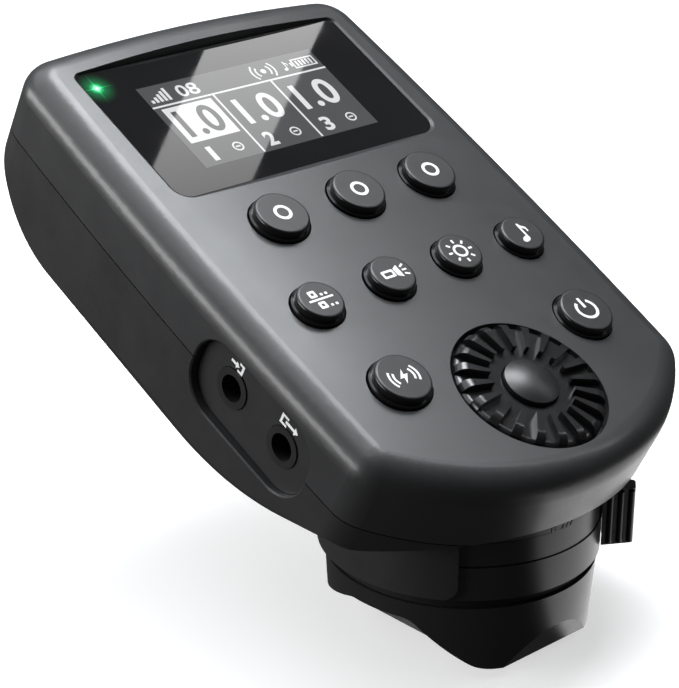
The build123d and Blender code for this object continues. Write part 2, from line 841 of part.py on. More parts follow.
with BuildPart() as contact_strip:
    with BuildSketch(across(-26.15)):
        with Locations((12.1, CELL_N)):
            RectangleRounded(25, 9, 1.5)
    extrude(amount=0.3)
    for v in CELL_V:
        with BuildSketch(across(-25.85)):
            with Locations((v, CELL_N)):
                Circle(3.2)
        extrude(amount=0.5, taper=45)
save(contact_strip.part, "contact_strip")

with BuildPart() as contact_plates:
    for v in CELL_V:
        with BuildSketch(across(26.15)):
            with Locations((v, CELL_N)):
                RectangleRounded(9, 9, 1.5)
        extrude(amount=-0.3)
        with BuildSketch(across(25.85)):
            with Locations((v, CELL_N)):
                Circle(3.2)
        extrude(amount=-0.5, taper=45)
save(contact_plates.part, "contact_plates")

with BuildPart() as battery_door:
    with BuildSketch(level(BACK_N - 1)):
        with Locations((0, (DOOR_LOW_V + HINGE_V) / 2)):
            Rectangle(2 * DOOR_U, HINGE_V - DOOR_LOW_V)
        for side in (-1, 1):
            with Locations((side * 23.5, 26.4)):
                Rectangle(6.6, 2.8, mode=Mode.SUBTRACT)
    extrude(amount=6)
    add(outer_form.part, mode=Mode.INTERSECT)
    with BuildSketch(across(0)):
        add(case_side(DOOR_T))
    extrude(amount=40, both=True, mode=Mode.SUBTRACT)
    with BuildSketch(across(-20.0)):
        with Locations((HINGE_V, HINGE_N)):
            Circle(1.1)
    extrude(amount=40)
    with BuildSketch(across(-20.5)):
        with Locations((HINGE_V, HINGE_N)):
            Circle(0.75)
    extrude(amount=41, mode=Mode.SUBTRACT)
    with BuildSketch(level(BACK_N)):
        with Locations(*[(0, 8 + 2.2 * i) for i in range(6)]):
            SlotOverall(22, 0.8)
    extrude(amount=0.4, mode=Mode.SUBTRACT)
    with BuildSketch(level(BACK_N)):
        with Locations((0, -1.9)):
            RectangleRounded(10.0, 5.8, 0.8)
    extrude(amount=0.8, mode=Mode.SUBTRACT)
    with BuildSketch(level(BACK_N)):
        with Locations((0, -2.0)):
            Rectangle(4.6, 4.6)
    extrude(amount=2, mode=Mode.SUBTRACT)
save(battery_door.part, "battery_door")

with BuildPart() as hinge_pin:
    with BuildSketch(across(-24.0)):
        with Locations((HINGE_V, HINGE_N)):
            Circle(0.62)
    extrude(amount=48)
save(hinge_pin.part, "hinge_pin")

with BuildPart() as door_latch:
    with BuildSketch(level(BACK_N - 0.3)):
        with Locations((0, -3.05)):
            RectangleRounded(9.2, 3.0, 0.6)
            with Locations((0, -0.75), (0, 0.75)):
                Rectangle(7.0, 0.4, mode=Mode.SUBTRACT)
    extrude(amount=0.8)
    with BuildSketch(level(BACK_N + 0.3)):
        with Locations((0, -3.05)):
            RectangleRounded(9.2, 3.0, 0.6)
    extrude(amount=0.2)
    with BuildSketch(level(BACK_N + 0.4)):
        with Locations((0, -3.1)):
            Rectangle(4.0, 1.6)
    extrude(amount=2.1)
    with BuildSketch(level(BACK_N + 2.2)):
        with Locations((0, -4.65)):
            Rectangle(8.0, 5.3)
    extrude(amount=0.9)
save(door_latch.part, "door_latch")

# ---------------------------------------------------------------- column and lock
with BuildPart() as neck_base:
    with BuildSketch(Plane.XY.offset(GROOVE_HIGH_Z)):
        Circle(COLUMN_R)
    extrude(amount=RING_LOW_Z - 0.05 - GROOVE_HIGH_Z)
    with BuildSketch(Plane.XY.offset(GROOVE_LOW_Z)):
        Circle(TUBE_R)
    extrude(amount=RING_HIGH_Z - GROOVE_LOW_Z)
    with BuildSketch(Plane.XY.offset(GROOVE_LOW_Z + 2.2)):
        Circle(TUBE_BORE_R)
    extrude(amount=10, mode=Mode.SUBTRACT)
    with BuildSketch(Plane.XY.offset(GROOVE_LOW_Z)):
        with Locations((0, -0.5)):
            Rectangle(10.4, 12.4)
        with Locations((0, PIN_Y)):
            Circle(PIN_R + 0.25)
        with Locations(*FOOT_SCREWS):
            Circle(FOOT_PILOT_R)
    extrude(amount=3, mode=Mode.SUBTRACT)
    with BuildSketch(Plane.XY.offset(14)):
        with PolarLocations(NECK_SCREW_R, 4, start_angle=45):
            Circle(NECK_PILOT_R)
    extrude(amount=6, mode=Mode.SUBTRACT)
save(neck_base.part, "neck_base")

with BuildPart() as lock_ring:
    with BuildSketch(Plane.XY.offset(RING_LOW_Z + 0.12)):
        Circle(COLUMN_R - 0.15)
        Circle(TUBE_R + 0.25, mode=Mode.SUBTRACT)
    extrude(amount=RING_HIGH_Z - RING_LOW_Z - 0.27)
save(lock_ring.part, "lock_ring")


def lever_plan(root, tip):
    """Wedge-shaped plan of the lever, pointing along +X before it is turned."""
    with BuildSketch() as plan:
        with BuildLine():
            Polyline((16, -root), (LEVER_TIP_R, -tip), (LEVER_TIP_R, tip), (16, root), close=True)
        make_face()
        fillet(plan.vertices().group_by(Axis.X)[-1], radius=0.6)
    return plan.sketch


with BuildPart() as lock_lever:
    with BuildSketch(Plane.XY.offset(LEVER_LOW_Z)):
        with Locations(Location((0, 0, 0), (0, 0, LEVER_AT))):
            add(lever_plan(3.2, 1.2))
    extrude(amount=LEVER_HIGH_Z - LEVER_LOW_Z)
    for side in (-1, 1):
        for i in range(3):
            r = 19.4 + 1.35 * i
            half = 3.2 - (r - 16) * 2.0 / (LEVER_TIP_R - 16)
            with BuildSketch(Plane.XY.offset(LEVER_LOW_Z + 0.3)):
                with Locations(Location((0, 0, 0), (0, 0, LEVER_AT))):
                    with Locations((r, side * half)):
                        Circle(LEVER_RIDGE_R)
            extrude(amount=LEVER_HIGH_Z - LEVER_LOW_Z - 0.6)
    with BuildSketch(Plane.XY.offset(LEVER_LOW_Z - 1)):
        Circle(COLUMN_R + LEVER_GAP)
    extrude(amount=12, mode=Mode.SUBTRACT)
    with BuildSketch(Plane.XY.offset(RING_LOW_Z + 0.3)):
        with Locations(Location((0, 0, 0), (0, 0, LEVER_AT))):
            with Locations((18.0, 0)):
                Rectangle(2.6, 3.6)
        Circle(COLUMN_R - 0.15, mode=Mode.SUBTRACT)
    extrude(amount=RING_HIGH_Z - RING_LOW_Z - 0.6)
save(lock_lever.part, "lock_lever")

with BuildPart() as neck_cover:
    with BuildSketch(Plane.XY.offset(COVER_LOW_Z)):
        Circle(COVER_R)
        Circle(COVER_IN_R, mode=Mode.SUBTRACT)
        with BuildLine():
            reach = 40
            Polyline(
                (0, 0),
                (reach * cos(radians(COVER_TO)), reach * sin(radians(COVER_TO))),
                (0, -2 * reach),
                (reach * cos(radians(COVER_FROM)), reach * sin(radians(COVER_FROM))),
                close=True,
            )
        make_face(mode=Mode.SUBTRACT)
    extrude(amount=UNDERSIDE_Z - 0.1 - COVER_LOW_Z)
    low_corners = neck_cover.edges().filter_by(GeomType.LINE).group_by(Axis.Z)[0]
    fillet(low_corners, radius=2.0)
save(neck_cover.part, "neck_cover")

with BuildPart() as neck_screws:
    with BuildSketch(Plane.XY.offset(UNDERSIDE_Z + WALL + 0.02)):
        with PolarLocations(NECK_SCREW_R, 4, start_angle=45):
            Circle(1.8)
    extrude(amount=1.2)
    with BuildSketch(Plane.XY.offset(15)):
        with PolarLocations(NECK_SCREW_R, 4, start_angle=45):
            Circle(0.75)
    extrude(amount=UNDERSIDE_Z + WALL - 14.9)
    with BuildSketch(Plane.XY.offset(UNDERSIDE_Z + WALL + 0.7)):
        with PolarLocations(NECK_SCREW_R, 4, start_angle=45):
            Rectangle(0.35, 2.2)
            Rectangle(2.2, 0.35)
    extrude(amount=1, mode=Mode.SUBTRACT)
save(neck_screws.part, "neck_screws")

with BuildPart() as groove_ring:
    with BuildSketch(Plane.XY.offset(GROOVE_LOW_Z)):
        Circle(GROOVE_R)
        Circle(TUBE_R + 0.05, mode=Mode.SUBTRACT)
    extrude(amount=GROOVE_HIGH_Z - GROOVE_LOW_Z)
save(groove_ring.part, "groove_ring")

with BuildPart() as locking_pin:
    with BuildSketch(Plane.XY.offset(-1.2)):
        with Locations((0, PIN_Y)):
            Circle(PIN_R)
    extrude(amount=17)
    fillet(locking_pin.edges().group_by(Axis.Z)[0], radius=0.4)
    with BuildSketch(Plane.XY.offset(12.2)):
        with Locations((0, PIN_Y)):
            Circle(2.2)
    extrude(amount=1.0)
save(locking_pin.part, "locking_pin")

with BuildPart() as pin_spring:
    with BuildLine():
        coil = Helix(pitch=1.0, height=5.0, radius=1.65, center=(0, PIN_Y, 13.5))
    with BuildSketch(Plane(origin=coil @ 0, z_dir=coil % 0)):
        Circle(0.22)
    sweep(is_frenet=True)
save(pin_spring.part, "pin_spring")

# ---------------------------------------------------------------- skirt and hot-shoe foot
with BuildPart() as foot_skirt:
    with BuildSketch(Plane.XY.offset(SKIRT_LOW_Z)):
        Circle(SKIRT_LOW_R)
    with BuildSketch(Plane.XY.offset(GROOVE_LOW_Z)):
        Circle(SKIRT_TOP_R)
    loft()
    with BuildSketch(Plane.XY.offset(SKIRT_LOW_Z - 1)):
        with Locations((0, 3.6)):
            Rectangle(40, 34)
        Circle(15.8, mode=Mode.INTERSECT)
    extrude(amount=FOOT_FLANGE_Z + 0.8, mode=Mode.SUBTRACT)
    with BuildSketch(Plane.YZ) as sides:
        with BuildLine():
            Polyline(
                (22, -3),
                (22, SKIRT_FRONT_Z - 2.0),
                (15, SKIRT_FRONT_Z),
                (2, SKIRT_SIDE_Z),
                (-7, SKIRT_SIDE_Z),
                (-14, SKIRT_LOW_Z),
                (-22, SKIRT_LOW_Z),
                (-22, -3),
                close=True,
            )
        make_face()
        fillet(sides.vertices().filter_by_position(Axis.X, -15, 3), radius=3.0)
    extrude(amount=25, both=True, mode=Mode.SUBTRACT)
    with BuildSketch(Plane.XY.offset(SKIRT_LOW_Z - 1)):
        with Locations((0, 12)):
            Rectangle(2 * SHOE_GAP_U, 24)
    extrude(amount=SKIRT_SIDE_Z + 1 - SKIRT_LOW_Z, mode=Mode.SUBTRACT)
    with BuildSketch(Plane.YZ):
        with BuildLine():
            Polyline((-17.85, 4.95), (-15.3, -0.4), (-24, -0.4), (-24, 4.95), close=True)
        make_face()
    extrude(amount=25, both=True, mode=Mode.SUBTRACT)
    with BuildSketch(Plane.XY.offset(FOOT_FLANGE_Z - 0.5)):
        with Locations((0, -0.5)):
            Rectangle(10.4, 12.4)
        with Locations((0, PIN_Y)):
            Circle(PIN_R + 0.25)
        with Locations(*FOOT_SCREWS):
            Circle(1.05)
    extrude(amount=3, mode=Mode.SUBTRACT)
save(foot_skirt.part, "foot_skirt")

with BuildPart() as foot_shoe:
    with BuildSketch(Plane.XY):
        RectangleRounded(FOOT_W, FOOT_L, 0.8)
    extrude(amount=FOOT_T)
    chamfer(foot_shoe.edges().group_by(Axis.Z)[0], length=0.35)
    with BuildSketch(Plane.XY.offset(FOOT_T)):
        Rectangle(FOOT_NECK_W, FOOT_L)
    extrude(amount=FOOT_NECK_Z - FOOT_T)
    with BuildSketch(Plane.XY.offset(FOOT_NECK_Z)):
        Circle(FOOT_FLANGE_R)
    extrude(amount=FOOT_FLANGE_Z - FOOT_NECK_Z)
    with BuildSketch(Plane.XY.offset(-1)):
        with Locations((0, -0.5)):
            Rectangle(9.8, 11.8)
        with Locations((0, PIN_Y)):
            Circle(PIN_R + 0.25)
    extrude(amount=10, mode=Mode.SUBTRACT)
    with BuildSketch(Plane.XY.offset(FOOT_NECK_Z)):
        with Locations(*FOOT_SCREWS):
            Circle(2.0)
    extrude(amount=0.85, mode=Mode.SUBTRACT)
    with BuildSketch(Plane.XY.offset(FOOT_NECK_Z)):
        with Locations(*FOOT_SCREWS):
            Circle(1.05)
    extrude(amount=3, mode=Mode.SUBTRACT)
save(foot_shoe.part, "foot_shoe")

with BuildPart() as foot_screws:
    with BuildSketch(Plane.XY.offset(FOOT_NECK_Z + 0.05)):
        with Locations(*FOOT_SCREWS):
            Circle(1.85)
    extrude(amount=0.8)
    with BuildSketch(Plane.XY.offset(FOOT_NECK_Z + 0.05)):
        with Locations(*FOOT_SCREWS):
            Circle(0.8)
    extrude(amount=4.8)
    with BuildSketch(Plane.XY.offset(FOOT_NECK_Z)):
        with Locations(*FOOT_SCREWS):
            Rectangle(0.35, 2.2)
            Rectangle(2.2, 0.35)
    extrude(amount=0.45, mode=Mode.SUBTRACT)
save(foot_screws.part, "foot_screws")

with BuildPart() as contact_carrier:
    with BuildSketch(Plane.XY.offset(0.3)):
        with Locations((0, -0.5)):
            Rectangle(9.7, 11.7)
    extrude(amount=8.9)
    for name, x, y, r in CONTACTS:
        with BuildSketch(Plane.XY):
            with Locations((x, y)):
                Circle(r + 0.15)
        extrude(amount=12, mode=Mode.SUBTRACT)
        with BuildSketch(Plane.XY.offset(2.4)):
            with Locations((x, y)):
                Circle(r + 0.55)
        extrude(amount=12, mode=Mode.SUBTRACT)
save(contact_carrier.part, "contact_carrier")

for name, x, y, r in CONTACTS:
    with BuildPart() as pin:
        with BuildSketch(Plane.XY.offset(-0.7)):
            with Locations((x, y)):
                Circle(r)
        extrude(amount=9.0)
        fillet(pin.edges().group_by(Axis.Z)[0], radius=0.6 * r)
        with BuildSketch(Plane.XY.offset(2.55)):
            with Locations((x, y)):
                Circle(r + 0.4)
        extrude(amount=0.9)
    save(pin.part, name)

# ---------------------------------------------------------------- case screws
with BuildPart() as case_screws:
    with BuildSketch(level(HEAD_N - 0.05)):
        with Locations(*CASE_POSTS):
            Circle(1.8)
    extrude(amount=-1.4)
    with BuildSketch(level(HEAD_N - 0.1)):
        with Locations(*CASE_POSTS):
            Circle(0.8)
    extrude(amount=PARTING_N + 6.0 - HEAD_N)
    with BuildSketch(level(HEAD_N - 1.5)):
        with Locations(*CASE_POSTS):
            Rectangle(0.4, 2.4)
            Rectangle(2.4, 0.4)
    extrude(amount=0.7, mode=Mode.SUBTRACT)
save(case_screws.part, "case_screws")
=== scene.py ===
"""Looks of a wireless flash trigger: finishes, printed symbols, display, lights and camera."""

import json
from math import cos, pi, radians, sin, tau

import bmesh
import bpy
from mathutils import Matrix, Vector


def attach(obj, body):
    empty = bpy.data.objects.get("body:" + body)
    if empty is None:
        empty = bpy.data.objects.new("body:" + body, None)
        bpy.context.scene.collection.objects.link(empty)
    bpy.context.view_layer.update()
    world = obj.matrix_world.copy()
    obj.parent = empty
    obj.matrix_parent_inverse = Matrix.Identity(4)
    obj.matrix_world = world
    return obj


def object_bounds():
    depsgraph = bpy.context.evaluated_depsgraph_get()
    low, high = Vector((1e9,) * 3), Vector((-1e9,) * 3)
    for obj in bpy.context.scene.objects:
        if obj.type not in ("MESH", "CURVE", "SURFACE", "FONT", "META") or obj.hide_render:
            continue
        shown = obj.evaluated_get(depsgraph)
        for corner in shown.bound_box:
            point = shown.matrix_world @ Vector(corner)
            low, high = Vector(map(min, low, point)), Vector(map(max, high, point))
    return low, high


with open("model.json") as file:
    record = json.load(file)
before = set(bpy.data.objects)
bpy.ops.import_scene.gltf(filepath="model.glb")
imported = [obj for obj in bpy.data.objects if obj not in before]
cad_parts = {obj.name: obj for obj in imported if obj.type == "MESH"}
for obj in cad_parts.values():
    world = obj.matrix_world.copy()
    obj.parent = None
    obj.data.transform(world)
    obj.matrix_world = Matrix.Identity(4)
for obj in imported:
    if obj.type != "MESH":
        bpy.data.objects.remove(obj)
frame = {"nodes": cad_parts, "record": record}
cad_low, cad_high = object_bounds()
NODES = frame["nodes"]
SLOTS = {part["node"]: part["material_slot"] for part in frame["record"]["subparts"]}

# Metres in the scene; the numbers of the drawn symbols are millimetres.
MM = 0.001
TILT = radians(27.0)  # the control panel leans back towards the photographer
PANEL_ORIGIN = Vector((0.0, 21.14, 52.5)) * MM  # the middle group key, where it meets the panel
PANEL = Matrix.Translation(PANEL_ORIGIN) @ Matrix.Rotation(TILT, 4, "X")  # x is u, y is v, z is n
TO_PANEL = PANEL.inverted()


def panel_box(node):
    """Lowest and highest (u, v, n) of a CAD node along the panel's own axes, in millimetres."""
    points = [TO_PANEL @ vertex.co / MM for vertex in NODES[node].data.vertices]
    low = Vector([min(point[i] for point in points) for i in range(3)])
    high = Vector([max(point[i] for point in points) for i in range(3)])
    return low, high


# ------------------------------------------------------------------------------ node helpers
def new_material(name):
    """A material with an empty tree, and its Principled shader wired to the output."""
    made = bpy.data.materials.new(name)
    made.use_nodes = True
    made.node_tree.nodes.clear()
    output = made.node_tree.nodes.new("ShaderNodeOutputMaterial")
    shader = made.node_tree.nodes.new("ShaderNodeBsdfPrincipled")
    made.node_tree.links.new(shader.outputs["BSDF"], output.inputs["Surface"])
    return made, shader


def put(made, kind, sockets=(), **settings):
    """Adds a node; sockets pairs an input's name or number with a value or another node's output."""
    node = made.node_tree.nodes.new("ShaderNode" + kind)
    for key, value in settings.items():
        setattr(node, key, value)
    for socket, value in dict(sockets).items():
        if isinstance(value, bpy.types.NodeSocket):
            made.node_tree.links.new(value, node.inputs[socket])
        else:
            node.inputs[socket].default_value = value
    return node


def math(made, operation, first, second=0.0):
    """The output of a Math node."""
    return put(made, "Math", {0: first, 1: second}, operation=operation).outputs["Value"]


def link(made, output, shader, socket):
    made.node_tree.links.new(output, shader.inputs[socket])


def place(made):
    """Where a point lies on the object at rest, in metres."""
    return put(made, "TexCoord").outputs["Object"]


def panel_axes(made):
    """The same point along the panel's u, v and n, as the outputs X, Y and Z."""
    spot = put(made, "Mapping", {"Vector": place(made), "Location": -PANEL_ORIGIN}).outputs["Vector"]
    leant = put(made, "Mapping", {"Vector": spot, "Rotation": (-TILT, 0.0, 0.0)}).outputs["Vector"]
    return put(made, "SeparateXYZ", {"Vector": leant}).outputs


def noise(made, size_mm, detail=2.0, roughness=0.5):
    """Noise from 0 to 1 whose blobs are about size_mm across."""
    sockets = {"Vector": place(made), "Scale": 1.0 / (size_mm * MM), "Detail": detail, "Roughness": roughness}
    return put(made, "TexNoise", sockets).outputs["Fac"]


def spread(made, value, low, high, from_low=0.3, from_high=0.7):
    """Maps from_low..from_high to low..high."""
    sockets = {"Value": value, 1: from_low, 2: from_high, 3: low, 4: high}
    return put(made, "MapRange", sockets).outputs["Result"]


def tint(made, value, dark, light):
    """A colour between dark and light."""
    ramp = put(made, "ValToRGB", {"Fac": value})
    ramp.color_ramp.elements[0].position = 0.3
    ramp.color_ramp.elements[0].color = (*dark, 1.0)
    ramp.color_ramp.elements[1].position = 0.7
    ramp.color_ramp.elements[1].color = (*light, 1.0)
    return ramp.outputs["Color"]


def relief(made, height, depth_mm, under=None):
    """A bump whose full height is depth_mm."""
    sockets = {"Height": height, "Distance": depth_mm * MM}
    if under is not None:
        sockets["Normal"] = under
    return put(made, "Bump", sockets).outputs["Normal"]


# ------------------------------------------------------------------------------ finishes
def shade(colour, factor):
    return tuple(channel * factor for channel in colour)


MOTTLE = 0.10  # how far the flow of the plastic lightens and darkens it
COAT_ROUGHNESS = 0.2


def moulded(name, colour, rough, grain_mm=0.22, grain_depth=0.006, specular=0.5, wave=0.02, coat=0.0):
    """Moulded plastic: fine spark-eroded grain, faint flow mottling and uneven gloss."""
    made, shader = new_material(name)
    flow = noise(made, 9.0, 3.0)
    link(made, tint(made, flow, shade(colour, 1 - MOTTLE), shade(colour, 1 + MOTTLE)), shader, "Base Color")
    gloss = math(made, "ADD", noise(made, 4.0, 4.0), math(made, "MULTIPLY", noise(made, 0.5, 2.0), 0.5))
    link(made, spread(made, gloss, rough - 0.03, rough + 0.03, 0.5, 1.0), shader, "Roughness")
    waviness = relief(made, noise(made, 14.0, 1.0), wave)
    link(made, relief(made, noise(made, grain_mm, 3.0, 0.6), grain_depth, under=waviness), shader, "Normal")
    shader.inputs["Specular IOR Level"].default_value = specular
    shader.inputs["Coat Weight"].default_value = coat
    shader.inputs["Coat Roughness"].default_value = COAT_ROUGHNESS
    return made


METAL_LINE_MM = 0.48  # spacing of the drawn lines


def metal(name, colour, rough, stretch=(1.0, 1.0, 12.0)):
    """Plated or brushed metal with fine drawn lines along one axis."""
    made, shader = new_material(name)
    squeezed = put(made, "Mapping", {"Vector": place(made), "Scale": stretch}).outputs["Vector"]
    lines = put(made, "TexNoise", {"Vector": squeezed, "Scale": 1.0 / (METAL_LINE_MM * MM), "Detail": 3.0})
    patches = tint(made, noise(made, 3.0, 3.0), shade(colour, 0.85), shade(colour, 1.1))
    link(made, patches, shader, "Base Color")
    link(made, spread(made, lines.outputs["Fac"], rough - 0.06, rough + 0.08), shader, "Roughness")
    link(made, relief(made, lines.outputs["Fac"], 0.004), shader, "Normal")
    shader.inputs["Metallic"].default_value = 1.0
    return made


def circuit_board(name):
    """Green solder resist with copper tracks showing through it."""
    made, shader = new_material(name)
    tracks = put(made, "TexBrick", {"Vector": place(made), "Scale": 900.0, "Mortar Size": 0.03})
    cells = put(made, "TexVoronoi", {"Vector": place(made), "Scale": 600.0}, distance="MANHATTAN")
    raised = math(made, "GREATER_THAN", cells.outputs["Distance"], 0.45)
    lines = math(made, "MAXIMUM", raised, tracks.outputs["Fac"])
    link(made, tint(made, lines, (0.010, 0.070, 0.030), (0.030, 0.160, 0.070)), shader, "Base Color")
    link(made, spread(made, noise(made, 2.0), 0.28, 0.4), shader, "Roughness")
    link(made, relief(made, lines, 0.03), shader, "Normal")
    return made


def sleeve(name):
    """Printed foil sleeve of a cell: dark barrel with a pale band at one end."""
    made, shader = new_material(name)
    across = put(made, "SeparateXYZ", {"Vector": place(made)}).outputs["X"]
    band = math(made, "GREATER_THAN", math(made, "ABSOLUTE", across), 0.0165)
    mixed = put(made, "MixRGB", {"Fac": band, "Color1": (0.03, 0.05, 0.08, 1), "Color2": (0.5, 0.5, 0.48, 1)})
    link(made, mixed.outputs["Color"], shader, "Base Color")
    link(made, spread(made, noise(made, 3.0), 0.25, 0.35), shader, "Roughness")
    link(made, relief(made, noise(made, 5.0), 0.03), shader, "Normal")
    shader.inputs["Metallic"].default_value = 0.6
    return made


def key_plastic(name, node):
    """Black key: satin crown, and a glossier skirt and side below its rim."""
    made, shader = new_material(name)
    top = panel_box(node)[1].z
    crown = spread(made, panel_axes(made)["Z"], 0.0, 1.0, (top - 0.16) * MM, (top - 0.03) * MM)
    mottled = noise(made, 1.6, 3.0)
    low = tint(made, mottled, (0.0045, 0.0045, 0.005), (0.0065, 0.0065, 0.007))
    high = tint(made, mottled, (0.016, 0.016, 0.0165), (0.020, 0.020, 0.0205))
    mixed = put(made, "MixRGB", {"Fac": crown, "Color1": low, "Color2": high})
    link(made, mixed.outputs["Color"], shader, "Base Color")
    rough = math(made, "ADD", spread(made, crown, 0.20, 0.40, 0.0, 1.0), spread(made, mottled, -0.02, 0.02))
    link(made, rough, shader, "Roughness")
    link(made, relief(made, noise(made, 0.18, 3.0), 0.005), shader, "Normal")
    return made


def glass(name):
    """Black-backed window: deep and clear, with the faint waviness of a moulded lens."""
    made, shader = new_material(name)
    depth = tint(made, noise(made, 12.0), (0.0085, 0.0085, 0.009), (0.0105, 0.0105, 0.011))
    link(made, depth, shader, "Base Color")
    link(made, spread(made, noise(made, 6.0, 4.0), 0.018, 0.035), shader, "Roughness")
    link(made, relief(made, noise(made, 18.0, 1.0), 0.004), shader, "Normal")
    return made


def ink(name, colour, rough=0.5, glow=0.0):
    """Pad-printed ink: slightly uneven cover with a soft film edge; a given glow adds painted light, as the
    ink itself gives off none.
    """
    made, shader = new_material(name)
    cover = tint(made, noise(made, 0.7, 3.0), shade(colour, 0.93), shade(colour, 1.03))
    link(made, cover, shader, "Base Color")
    link(made, spread(made, noise(made, 0.35, 2.0), rough - 0.05, rough + 0.05), shader, "Roughness")
    link(made, relief(made, noise(made, 0.12, 2.0), 0.003), shader, "Normal")
    # painted glow: the printed ink is no lamp, yet gives off light here
    if glow:
        shader.inputs["Emission Color"].default_value = (*colour, 1.0)
        shader.inputs["Emission Strength"].default_value = glow
    return made


PIXEL_PITCH = 0.242
GRID_SHARE = 0.14  # part of the pitch that the dark grid takes
GRID_DARK = 0.22  # how much the grid dims


def pixels(name, colour, glow):
    """Lit display cells, parted by a fine dark grid, under the same clear gloss as the window."""
    made, shader = new_material(name)
    axes_out = panel_axes(made)
    wires = []
    for axis in ("X", "Y"):
        phase = math(made, "FRACT", math(made, "MULTIPLY", axes_out[axis], 1.0 / (PIXEL_PITCH * MM)))
        wires.append(math(made, "LESS_THAN", phase, GRID_SHARE))
    gap = math(made, "MAXIMUM", *wires)
    cell = math(made, "SUBTRACT", 1.0, math(made, "MULTIPLY", gap, GRID_DARK))
    uneven = spread(made, noise(made, 2.5, 2.0), 0.96, 1.04)
    level = math(made, "MULTIPLY", cell, uneven)
    mixed = {"Fac": level, "Color1": (0.0, 0.0, 0.0, 1.0), "Color2": (*colour, 1.0)}
    lit = put(made, "MixRGB", mixed).outputs["Color"]
    link(made, lit, shader, "Emission Color")
    shader.inputs["Emission Strength"].default_value = glow
    shader.inputs["Base Color"].default_value = (0.01, 0.01, 0.01, 1.0)
    link(made, spread(made, noise(made, 6.0, 4.0), 0.018, 0.035), shader, "Roughness")
    return made


CASE_GREY = moulded("case_satin_grey", (0.028, 0.0285, 0.030), 0.44, coat=0.25)
CASE_BLACK = moulded("case_satin_black", (0.022, 0.022, 0.0232), 0.42, coat=0.2)
DIAL_BLACK = moulded("dial_gloss_black", (0.012, 0.012, 0.0125), 0.24, 0.3, 0.001, wave=0.004)
LOCK_BLACK = moulded("column_satin_black", (0.016, 0.016, 0.0165), 0.30, 0.2, 0.003, wave=0.008)
JACK_BLACK = moulded("jack_black", (0.012, 0.012, 0.0125), 0.42)
SWITCH_BLACK = moulded("switch_black", (0.022, 0.022, 0.022), 0.6)
RUBBER = moulded("seal_rubber", (0.005, 0.005, 0.005), 0.7, 0.3, 0.02, specular=0.3)
WHITE_PLASTIC = moulded("diffuser_white", (0.72, 0.72, 0.70), 0.5)
CLEAR_GREEN = moulded("light_pipe_green", (0.16, 0.55, 0.22), 0.15)
BOARD = circuit_board("circuit_board")
SHIELD = metal("shield_tin", (0.62, 0.62, 0.60), 0.32)
SCREW = metal("screw_black_zinc", (0.13, 0.13, 0.14), 0.36)
USB_METAL = metal("usb_shell_steel", (0.60, 0.60, 0.61), 0.26)
NICKEL = metal("contact_nickel", (0.70, 0.68, 0.64), 0.22)
SPRING = metal("spring_steel", (0.52, 0.52, 0.51), 0.28)
FOOT_METAL = metal("foot_satin_steel", (0.55, 0.55, 0.54), 0.30, (1.0, 12.0, 1.0))
GOLD = metal("contact_gold", (0.83, 0.60, 0.24), 0.2)
WINDOW = glass("window_black_glass")
# white legend ink with a faint painted glow on top of its own colour
WHITE_INK_PAINTED_GLOW = ink("legend_white_ink_painted_glow", (0.86, 0.87, 0.88), 0.45, 0.12)
FINISHES = {
    "case_grey": CASE_GREY,
    "case_black": CASE_BLACK,
    "dial_black": DIAL_BLACK,
    "window_glass": WINDOW,
    "display": WINDOW,
    "white_plastic": WHITE_PLASTIC,
    "clear_plastic": CLEAR_GREEN,
    "board_green": BOARD,
    "switch_black": SWITCH_BLACK,
    "shield_metal": SHIELD,
    "screw_steel": SCREW,
    "jack_black": JACK_BLACK,
    "usb_metal": USB_METAL,
    "cell_wrap": sleeve("cell_sleeve"),
    "contact_nickel": NICKEL,
    "lock_black": LOCK_BLACK,
    "seal_rubber": RUBBER,
    "spring_steel": SPRING,
    "foot_metal": FOOT_METAL,
    "contact_gold": GOLD,
}
SET_BLACK = moulded("set_button_satin_black", (0.014, 0.014, 0.0145), 0.38, 0.3, 0.001, wave=0.0)
for node, slot_name in SLOTS.items():
    if node == "set_button":
        finish = SET_BLACK
    elif slot_name == "key_black":
        finish = key_plastic(node + "_black", node)
    else:
        finish = FINISHES[slot_name]
    NODES[node].data.materials.clear()
    NODES[node].data.materials.append(finish)


# ------------------------------------------------------------------------------ flat shapes
def circle(x, y, radius, start=0.0, end=tau, steps=48):
    """Points round a circle or along an arc."""
    whole = abs(end - start) >= tau - 1e-6
    count = steps if whole else steps + 1
    angles = [start + (end - start) * i / steps for i in range(count)]
    return [(x + radius * cos(angle), y + radius * sin(angle)) for angle in angles]


def arc_band(x, y, inner, outer, start, end):
    """A curved bar between two radii."""
    return circle(x, y, outer, start, end, 24) + circle(x, y, inner, end, start, 24)


def turned(points, angle, x=0.0, y=0.0):
    """Points turned about the origin, then moved."""
    c, s = cos(angle), sin(angle)
    return [(x + px * c - py * s, y + px * s + py * c) for px, py in points]


def bar(x, y, width, height, angle=0.0, corner=0.0):
    """A rectangle about its centre, with rounded corners where asked."""
    w, h = width / 2, height / 2
    if not corner:
        return turned([(-w, -h), (w, -h), (w, h), (-w, h)], angle, x, y)
    points = []
    for i, (sx, sy) in enumerate(((1, 1), (-1, 1), (-1, -1), (1, -1))):
        start = i * pi / 2
        points += circle(sx * (w - corner), sy * (h - corner), corner, start, start + pi / 2, 6)
    return turned(points, angle, x, y)


def scaled(groups, factor, x=0.0, y=0.0):
    """Groups of shapes made larger or smaller about the origin, then moved."""
    return [[[(x + px * factor, y + py * factor) for px, py in shape] for shape in group] for group in groups]


def ring(x, y, outer, inner):
    """Two outlines that leave a ring between them."""
    return [circle(x, y, outer), circle(x, y, inner)]


